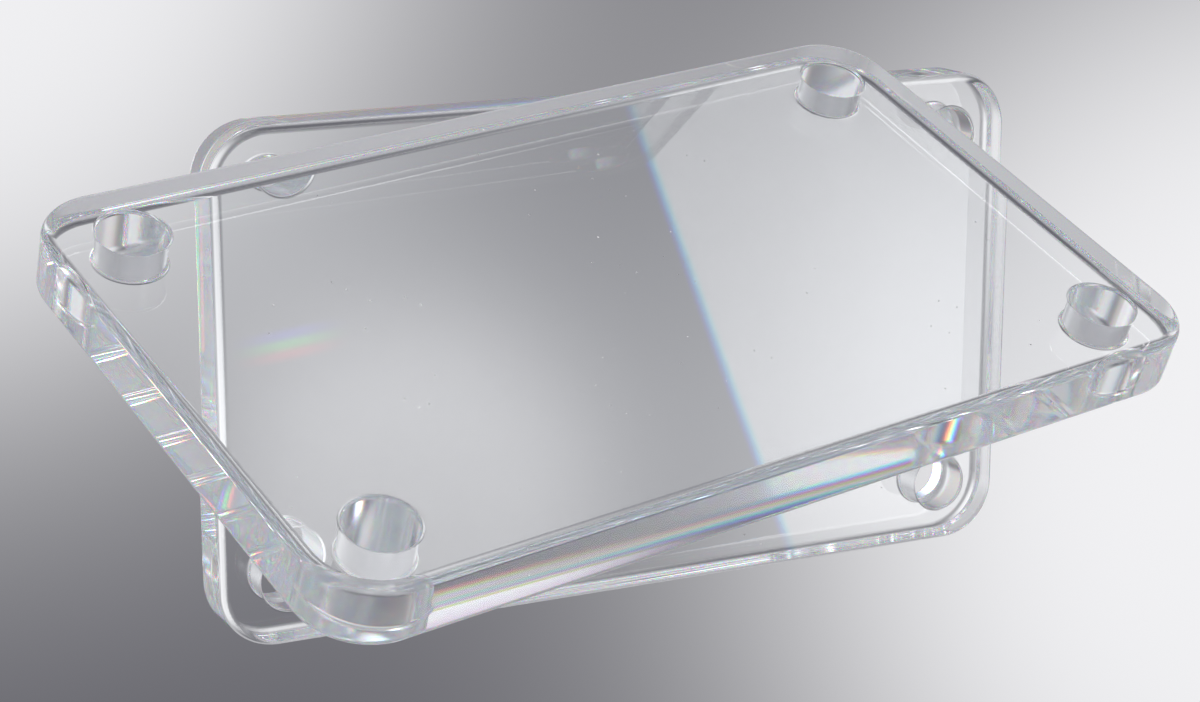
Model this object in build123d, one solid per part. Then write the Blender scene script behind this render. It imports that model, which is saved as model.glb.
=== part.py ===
from build123d import *

import os

# A pair of identical clear cast-acrylic mounting plates.
# One stands upright on a long edge, the other slopes in front of it, and they don't touch.
# The row's frame: +X along the upright plate's long side, +Z up, -Y to the side with the sloping plate.
# The origin is the centre of the upright plate's hole pattern, halfway through its thickness.

# Driving dimensions of one plate, in millimetres
LENGTH = 150.0
WIDTH = 86.0
THICKNESS = 10.0
CORNER_R = 10.0
RIM_R = 1.5
HOLE_D = 10.0
HOLE_MOUTH_R = 0.5
HOLE_INSET_LONG = 12.0
HOLE_INSET_SHORT = 11.0

# Where the sloping plate lies: its tilt about +X and its turn in its own plane, in degrees, and its centre
SLOPE = 25.5
TURN = 11.0
SLOPING_CENTRE = (-34.5, -70.0, 25.0)

# Worked out from the driving dimensions
HOLE_PITCH_LONG = LENGTH - 2 * HOLE_INSET_LONG
HOLE_PITCH_SHORT = WIDTH - 2 * HOLE_INSET_SHORT


def slab():
    """The plate without its holes: rounded corners, and a rounded rim on both faces."""
    outline = RectangleRounded(LENGTH, WIDTH, CORNER_R)
    blank = extrude(outline, THICKNESS / 2, both=True)
    top_rim = blank.faces().sort_by(Axis.Z)[-1].edges()
    bottom_rim = blank.faces().sort_by(Axis.Z)[0].edges()
    return fillet(top_rim + bottom_rim, RIM_R)


def hole_cutter():
    """One through hole with a rounded mouth at both faces, as a solid of revolution to cut away."""
    radius = HOLE_D / 2
    half = THICKNESS / 2
    past_face = 1.0
    mouth = radius + HOLE_MOUTH_R
    shoulder = half - HOLE_MOUTH_R
    with BuildPart() as cutter:
        with BuildSketch(Plane.XZ):
            with BuildLine():
                Polyline((0, half + past_face), (mouth, half + past_face), (mouth, half))
                RadiusArc((mouth, half), (radius, shoulder), -HOLE_MOUTH_R)
                Line((radius, shoulder), (radius, -shoulder))
                RadiusArc((radius, -shoulder), (mouth, -half), -HOLE_MOUTH_R)
                Polyline((mouth, -half), (mouth, -half - past_face), (0, -half - past_face))
                Line((0, -half - past_face), (0, half + past_face))
            make_face()
        revolve(axis=Axis.Z)
    return cutter.part


def plate():
    """One whole plate, centred on the origin with its faces across Z and its long side along X."""
    body = slab()
    cutter = hole_cutter()
    for spot in GridLocations(HOLE_PITCH_LONG, HOLE_PITCH_SHORT, 2, 2):
        body -= spot * cutter
    return body.solid()


def upright_place():
    """Stands the plate on a long edge, with its front face towards -Y."""
    return Rot(X=90)


def sloping_place():
    """Turns the plate in its own plane, tips its near edge down, and moves it to its centre."""
    return Pos(*SLOPING_CENTRE) * Rot(X=SLOPE) * Rot(Z=TURN)


def build():
    """Each plate by its node name."""
    return {
        "upright_plate": upright_place() * plate(),
        "sloping_plate": sloping_place() * plate(),
    }


os.makedirs("parts", exist_ok=True)
for name, solid in build().items():
    solid.label = name
    export_step(solid, f"parts/{name}.step")
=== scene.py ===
"""Two thick clear acrylic plates in a plain grey studio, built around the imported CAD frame. Metres, +Z up."""

import math

import bmesh
import bpy
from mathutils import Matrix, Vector

# Camera, from fitting both plates' outlines
CAMERA_AT = (-0.2116, -0.4096, 0.1099)
CAMERA_FORWARD = (0.4394, 0.8670, -0.2349)
LENS_MM = 82.75
SENSOR_MM = 36.0
CLIP_START = 0.01

# Studio surroundings. A direction is (azimuth, elevation) in degrees: azimuth 0 is -Y, 90 is +X, 180 is +Y.
# Every radius and width of a light is measured on a sphere of radius 1 around the object.
VIEW_AXIS = (153.13, -13.58)
BACKDROP_BASE = 0.050
BACKDROP_INNER = 0.27
BACKDROP_OUTER = 0.50
COOL_TINT = (0.001, 0.0, 0.019)

# Round soft pools of light: direction, radius, edge power, brightness
POOLS = [
    # The backdrop's pale left side and pale right side
    ((167.75, -3.5), 0.185, 4.6, 0.794),
    ((136.76, -15.9), 0.210, 4.9, 0.817),
    # Lights for the rims: sloping near rim, sloping left rim, upright top rim, upright left rim
    ((62.0, 51.0), 0.17, 6.0, 1.6),
    ((225.0, 78.0), 0.17, 6.0, 3.5),
    ((29.0, 29.0), 0.15, 6.0, 2.5),
    ((-18.0, -14.0), 0.12, 6.0, 2.5),
    # Broad fill for the walls and bores
    ((250.0, 5.0), 0.45, 3.0, 0.35),
    ((205.0, -10.0), 0.25, 4.0, 0.30),
]

# Softbox low on the front right, mirrored in the upright plate: one side of it is straight and crisp
FRONT_BOX = ((28.5, -12.0), 0.13, 5.0, 3.6)
FRONT_BOX_EDGE = ((27.5, -8.5), (31.0, -17.6))
FRONT_BOX_EDGE_WIDTH = 0.0018
FRONT_BOX_FRINGE = 0.0012

# Softbox above, mirrored in the sloping plate's face: it dims beyond the line that the near rim mirrors
OVERHEAD_BOX = ((131.8, 60.2), 0.075, 4.2, 3.4)
OVERHEAD_EDGE = ((129.44, 61.58), (116.16, 47.36))
OVERHEAD_EDGE_WIDTH = 0.004
OVERHEAD_SPILL = 0.13

# Faint band of spectrum, also mirrored in the sloping plate's face
STREAK_ENDS = ((141.5, 59.6), (137.6, 57.8))
STREAK_WIDTH = 0.0035
STREAK_BRIGHTNESS = 1.0

# The studio's own grey away from the backdrop, by the height of the direction
ROOM_LOW = 0.30
ROOM_HORIZON = 0.36
ROOM_HIGH = 0.45
ROOM_REACH = 0.9
# Dimmer parts of the studio around the two softboxes: direction, inner and outer radius, share left inside
DIM_PARTS = [
    ((131.0, 58.0), 0.18, 0.45, 0.08),
    ((24.0, -14.0), 0.15, 0.40, 0.60),
]

# Acrylic, with its spread between red and blue widened so that it shows at this size
ACRYLIC_IOR = 1.49
IOR_SPREAD = 0.014
CLEAR = (0.993, 0.997, 1.0, 1.0)
# Each third of a wall's light leans to one colour; the three add up to white
RED_SHARE = (2.5, 0.25, 0.25, 1.0)
GREEN_SHARE = (0.25, 2.5, 0.25, 1.0)
BLUE_SHARE = (0.25, 0.25, 2.5, 1.0)
BORE_TINT = (0.93, 0.94, 0.95, 1.0)
FACE_ROUGHNESS = 0.0
RIM_ROUGHNESS = 0.01
WALL_ROUGHNESS = 0.02
BORE_ROUGHNESS = 0.20

# Pinpoint grains of dust on the faces; grains ranked under DUST_RARITY don't show
DUST_COLOUR = (0.95, 0.95, 0.95, 1.0)
DUST_SPACING = 0.013
DUST_RADIUS = 0.00017
DUST_RARITY = 0.35
DUST_SIDE_SHIFT = 3.7

# The slow unevenness of a cast sheet
RIPPLE_LENGTH = 0.04
RIPPLE_DEPTH = 0.000006
RIPPLE_DETAIL = 1.0

# Each plate's own frame, with the CAD model's numbers: its centre, long side, short side and face normal
SLOPE = math.radians(25.5)
TURN = math.radians(11.0)
PLATES = {
    "upright_plate": {
        "centre": (0.0, 0.0, 0.0),
        "along": (1.0, 0.0, 0.0),
        "across": (0.0, 0.0, 1.0),
        "normal": (0.0, -1.0, 0.0),
    },
    "sloping_plate": {
        "centre": (-0.0345, -0.0700, 0.0250),
        "along": (math.cos(TURN), math.sin(TURN) * math.cos(SLOPE), math.sin(TURN) * math.sin(SLOPE)),
        "across": (-math.sin(TURN), math.cos(TURN) * math.cos(SLOPE), math.cos(TURN) * math.sin(SLOPE)),
        "normal": (0.0, -math.sin(SLOPE), math.cos(SLOPE)),
    },
}
HOLE_PITCH_LONG = 0.126
HOLE_PITCH_SHORT = 0.064
# Every bore's surface lies within this of its axis, and no outer wall does
BORE_REACH = 0.0057

# How squarely a surface faces along the plate's normal: more than the first is a flat face, less than the
# second is a wall or a bore, and between them is a rounded rim
FACE_FROM = 0.999
WALL_UP_TO = 0.03

# Light stays inside a clear slab for many bounces
LIGHT_BOUNCES = 40

FLOOR_Z = -0.30
FLOOR_RADIUS = 0.60
FLOOR_SEGMENTS = 96
FLOOR_COLOUR = (0.74, 0.74, 0.76, 1.0)
FLOOR_FADE_START = FLOOR_RADIUS * 0.35
FLOOR_FADE_END = FLOOR_RADIUS * 0.98

ZERO = (0.0, 0.0, 0.0)
WHITE = (1.0, 1.0, 1.0)


def direction(azimuth, elevation):
    """The unit vector towards an azimuth and elevation in degrees."""
    turn, rise = math.radians(azimuth), math.radians(elevation)
    return Vector((math.sin(turn) * math.cos(rise), -math.cos(turn) * math.cos(rise), math.sin(rise)))


class Nodes:
    """Short calls for building one node tree."""

    def __init__(self, tree):
        self.tree = tree
        tree.nodes.clear()

    def add(self, kind, **settings):
        node = self.tree.nodes.new(kind)
        for name, value in settings.items():
            setattr(node, name, value)
        return node

    def put(self, socket, value):
        if isinstance(value, bpy.types.NodeSocket):
            self.tree.links.new(value, socket)
        else:
            socket.default_value = value

    def math(self, operation, a, b=0.0):
        node = self.add("ShaderNodeMath", operation=operation)
        self.put(node.inputs[0], a)
        self.put(node.inputs[1], b)
        return node.outputs[0]

    def vector(self, operation, a, b=ZERO, output="Vector"):
        node = self.add("ShaderNodeVectorMath", operation=operation)
        self.put(node.inputs[0], a)
        self.put(node.inputs[1], b)
        return node.outputs[output]

    def ramp(self, value, low, high, to_low=0.0, to_high=1.0):
        """A smooth step from to_low, where value is low, to to_high, where it is high."""
        node = self.add("ShaderNodeMapRange", interpolation_type="SMOOTHSTEP")
        self.put(node.inputs["Value"], value)
        self.put(node.inputs["From Min"], low)
        self.put(node.inputs["From Max"], high)
        self.put(node.inputs["To Min"], to_low)
        self.put(node.inputs["To Max"], to_high)
        return node.outputs["Result"]

    def joined(self, x, y, z):
        node = self.add("ShaderNodeCombineXYZ")
        for socket, value in zip(node.inputs, (x, y, z)):
            self.put(socket, value)
        return node.outputs[0]

    def part(self, vector, index):
        node = self.add("ShaderNodeSeparateXYZ")
        self.put(node.inputs[0], vector)
        return node.outputs[index]

    def scaled(self, vector, factor):
        node = self.add("ShaderNodeVectorMath", operation="SCALE")
        self.put(node.inputs[0], vector)
        self.put(node.inputs["Scale"], factor)
        return node.outputs["Vector"]


def away_from(n, ray, centre):
    """How far the ray's direction is from the centre's."""
    return n.vector("DISTANCE", ray, centre, output="Value")


def pool(n, ray, centre, radius, power, brightness):
    """A round light with a soft edge."""
    share_of_radius = n.math("DIVIDE", away_from(n, ray, direction(*centre)), radius)
    falloff = n.math("POWER", share_of_radius, power)
    return n.math("DIVIDE", brightness, n.math("ADD", falloff, 1.0))


def edge(n, ray, ends, width, fringe):
    """1 on the right of the line from the first end to the last and 0 on its left, as (r, g, b).

    The step is soft over the width, and fringe shifts red and blue apart across it.
    """
    first, last = (direction(*end) for end in ends)
    side = n.vector("DOT_PRODUCT", ray, first.cross(last).normalized(), output="Value")
    return n.joined(*(n.ramp(side, shift - width, shift + width) for shift in (fringe, 0.0, -fringe)))


def streak(n, ray, ends, width, brightness):
    """A short soft band of spectrum between two directions, red along one side and blue along the other."""
    first, last = (direction(*end) for end in ends)
    across = n.vector("DOT_PRODUCT", ray, first.cross(last).normalized(), output="Value")
    from_middle = away_from(n, ray, (first + last).normalized())
    length = n.ramp(from_middle, 0.0, (last - first).length / 2, brightness, 0.0)
    bands = (
        n.ramp(n.math("ABSOLUTE", n.math("SUBTRACT", across, shift)), 0.0, width, 1.0, 0.0)
        for shift in (-width, 0.0, width)
    )
    return n.scaled(n.joined(*bands), length)


def room(n, ray):
    """The plain grey studio, with the darker backdrop straight behind the object."""
    height = n.part(ray, 2)
    up = n.ramp(height, 0.0, ROOM_REACH, ROOM_HORIZON, ROOM_HIGH)
    down = n.ramp(height, -ROOM_REACH, 0.0, ROOM_LOW - ROOM_HORIZON, 0.0)
    grey = n.math("ADD", up, down)
    share = n.ramp(away_from(n, ray, direction(*VIEW_AXIS)), BACKDROP_INNER, BACKDROP_OUTER)
    for centre, inner, outer, left in DIM_PARTS:
        away = away_from(n, ray, direction(*centre))
        share = n.math("MULTIPLY", share, n.ramp(away, inner, outer, left, 1.0))
    return n.math("ADD", n.math("MULTIPLY", share, grey), BACKDROP_BASE)


def front_box(n, ray):
    lit = edge(n, ray, FRONT_BOX_EDGE, FRONT_BOX_EDGE_WIDTH, FRONT_BOX_FRINGE)
    return n.scaled(lit, pool(n, ray, *FRONT_BOX))


def overhead_box(n, ray):
    lit = edge(n, ray, OVERHEAD_EDGE, OVERHEAD_EDGE_WIDTH, 0.0)
    lit = n.vector("ADD", n.scaled(lit, 1.0 - OVERHEAD_SPILL), (OVERHEAD_SPILL,) * 3)
    return n.scaled(lit, pool(n, ray, *OVERHEAD_BOX))


def build_world():
    world = bpy.data.worlds.new("studio")
    bpy.context.scene.world = world
    world.use_nodes = True
    n = Nodes(world.node_tree)
    ray = n.vector("NORMALIZE", n.add("ShaderNodeTexCoord").outputs["Generated"])
    grey = room(n, ray)
    for light in POOLS:
        grey = n.math("ADD", grey, pool(n, ray, *light))
    total = n.vector("ADD", n.scaled(WHITE, grey), COOL_TINT)
    total = n.vector("ADD", total, front_box(n, ray))
    total = n.vector("ADD", total, overhead_box(n, ray))
    total = n.vector("ADD", total, streak(n, ray, STREAK_ENDS, STREAK_WIDTH, STREAK_BRIGHTNESS))
    back = n.add("ShaderNodeBackground")
    n.put(back.inputs["Color"], total)
    out = n.add("ShaderNodeOutputWorld")
    n.put(out.inputs["Surface"], back.outputs[0])


def mixed(n, factor, first, second):
    mix = n.add("ShaderNodeMixShader")
    n.put(mix.inputs[0], factor)
    n.put(mix.inputs[1], first)
    n.put(mix.inputs[2], second)
    return mix.outputs[0]


def finish_material(n, surface):
    out = n.add("ShaderNodeOutputMaterial")
    n.put(out.inputs["Surface"], surface)


def matt(n, colour):
    shader = n.add("ShaderNodeBsdfDiffuse")
    n.put(shader.inputs["Color"], colour)
    return shader.outputs[0]


def floor_material():
    """Plain pale floor whose outer part fades away."""
    material = bpy.data.materials.new("pale_floor")
    material.use_nodes = True
    n = Nodes(material.node_tree)
    at = n.add("ShaderNodeTexCoord").outputs["Object"]
    radius = n.vector("LENGTH", at, output="Value")
    gone = n.ramp(radius, FLOOR_FADE_START, FLOOR_FADE_END)
    clear = n.add("ShaderNodeBsdfTransparent").outputs[0]
    finish_material(n, mixed(n, gone, matt(n, FLOOR_COLOUR), clear))
    return material


def build_floor():
    mesh = bpy.data.meshes.new("floor")
    disc = bmesh.new()
    bmesh.ops.create_circle(disc, cap_ends=True, radius=FLOOR_RADIUS, segments=FLOOR_SEGMENTS)
    disc.to_mesh(mesh)
    disc.free()
    floor = bpy.data.objects.new("floor", mesh)
    bpy.context.scene.collection.objects.link(floor)
    floor.location = (0.0, 0.0, FLOOR_Z)
    mesh.materials.append(floor_material())


def glass(n, colour, ior, roughness):
    shader = n.add("ShaderNodeBsdfGlass", distribution="MULTI_GGX")
    n.put(shader.inputs["Color"], colour)
    n.put(shader.inputs["Roughness"], roughness)
    n.put(shader.inputs["IOR"], ior)
    return shader.outputs[0]


def dust(n, u, v, side):
    """1 on a few pinpoint grains, scattered differently on the two faces."""
    spot = n.add("ShaderNodeTexVoronoi", voronoi_dimensions="2D", feature="F1")
    shifted = n.math("ADD", v, n.math("MULTIPLY", side, DUST_SIDE_SHIFT))
    n.put(spot.inputs["Vector"], n.joined(u, shifted, 0.0))
    n.put(spot.inputs["Scale"], 1.0 / DUST_SPACING)
    rank = n.part(spot.outputs["Color"], 0)
    radius = n.ramp(rank, DUST_RARITY, 1.0, 0.0, DUST_RADIUS / DUST_SPACING)
    return n.math("LESS_THAN", spot.outputs["Distance"], radius)


def ripple(n, at):
    """The unevenness of the sheet, as a bent normal."""
    noise = n.add("ShaderNodeTexNoise")
    n.put(noise.inputs["Vector"], at)
    n.put(noise.inputs["Scale"], 1.0 / RIPPLE_LENGTH)
    n.put(noise.inputs["Detail"], RIPPLE_DETAIL)
    bump = n.add("ShaderNodeBump")
    n.put(bump.inputs["Height"], noise.outputs[0])
    n.put(bump.inputs["Distance"], RIPPLE_DEPTH)
    return bump.outputs[0]


def near_hole(n, u, v):
    """1 within reach of one of the four holes' axes, which are placed alike in all four quarters."""
    to_hole = n.joined(
        n.math("SUBTRACT", n.math("ABSOLUTE", u), HOLE_PITCH_LONG / 2),
        n.math("SUBTRACT", n.math("ABSOLUTE", v), HOLE_PITCH_SHORT / 2),
        0.0,
    )
    return n.math("LESS_THAN", n.vector("LENGTH", to_hole, output="Value"), BORE_REACH)


def flat_face(n, at, u, v, side):
    face = glass(n, CLEAR, ACRYLIC_IOR, FACE_ROUGHNESS)
    n.put(face.node.inputs["Normal"], ripple(n, at))
    return mixed(n, dust(n, u, v, side), face, matt(n, DUST_COLOUR))


def wall_or_bore(n, u, v):
    """Walls bend red, green and blue by different amounts; bores are satin and don't."""
    red = glass(n, RED_SHARE, ACRYLIC_IOR - IOR_SPREAD, WALL_ROUGHNESS)
    green = glass(n, GREEN_SHARE, ACRYLIC_IOR, WALL_ROUGHNESS)
    blue = glass(n, BLUE_SHARE, ACRYLIC_IOR + IOR_SPREAD, WALL_ROUGHNESS)
    wall = mixed(n, 1 / 3, mixed(n, 1 / 2, red, green), blue)
    return mixed(n, near_hole(n, u, v), wall, glass(n, BORE_TINT, ACRYLIC_IOR, BORE_ROUGHNESS))


def acrylic(name, plate):
    """Cast acrylic: clear flat faces, glossy rims, walls that spread light into colours, and satin bores."""
    material = bpy.data.materials.new(name)
    material.use_nodes = True
    n = Nodes(material.node_tree)
    coords = n.add("ShaderNodeTexCoord")
    at = coords.outputs["Object"]
    from_centre = n.vector("SUBTRACT", at, plate["centre"])
    u = n.vector("DOT_PRODUCT", from_centre, plate["along"], output="Value")
    v = n.vector("DOT_PRODUCT", from_centre, plate["across"], output="Value")
    side = n.vector("DOT_PRODUCT", coords.outputs["Normal"], plate["normal"], output="Value")
    facing = n.math("ABSOLUTE", side)
    rim = glass(n, CLEAR, ACRYLIC_IOR, RIM_ROUGHNESS)
    edges = mixed(n, n.math("LESS_THAN", facing, WALL_UP_TO), rim, wall_or_bore(n, u, v))
    off_face = n.math("LESS_THAN", facing, FACE_FROM)
    finish_material(n, mixed(n, off_face, flat_face(n, at, u, v, side), edges))
    return material


def build_camera():
    data = bpy.data.cameras.new("camera")
    data.lens = LENS_MM
    data.sensor_width = SENSOR_MM
    data.clip_start = CLIP_START
    camera = bpy.data.objects.new("camera", data)
    bpy.context.scene.collection.objects.link(camera)
    camera.location = CAMERA_AT
    camera.rotation_euler = Vector(CAMERA_FORWARD).to_track_quat("-Z", "Y").to_euler()
    bpy.context.scene.camera = camera


def settle_scene():
    scene = bpy.context.scene
    scene.view_settings.view_transform = "Standard"
    scene.view_settings.look = "None"
    scene.cycles.max_bounces = LIGHT_BOUNCES
    scene.cycles.transmission_bounces = LIGHT_BOUNCES
    scene.cycles.glossy_bounces = LIGHT_BOUNCES


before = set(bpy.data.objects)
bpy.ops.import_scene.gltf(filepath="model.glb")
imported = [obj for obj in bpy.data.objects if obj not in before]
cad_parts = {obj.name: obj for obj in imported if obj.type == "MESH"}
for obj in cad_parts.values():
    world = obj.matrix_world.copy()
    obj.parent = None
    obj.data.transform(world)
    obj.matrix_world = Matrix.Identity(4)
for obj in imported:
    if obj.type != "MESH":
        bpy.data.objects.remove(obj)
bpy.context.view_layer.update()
settle_scene()
build_world()
build_floor()
for name, plate in PLATES.items():
    clear_acrylic = acrylic(f"clear_acrylic_{name}", plate)
    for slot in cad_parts[name].material_slots:
        slot.material = clear_acrylic
build_camera()
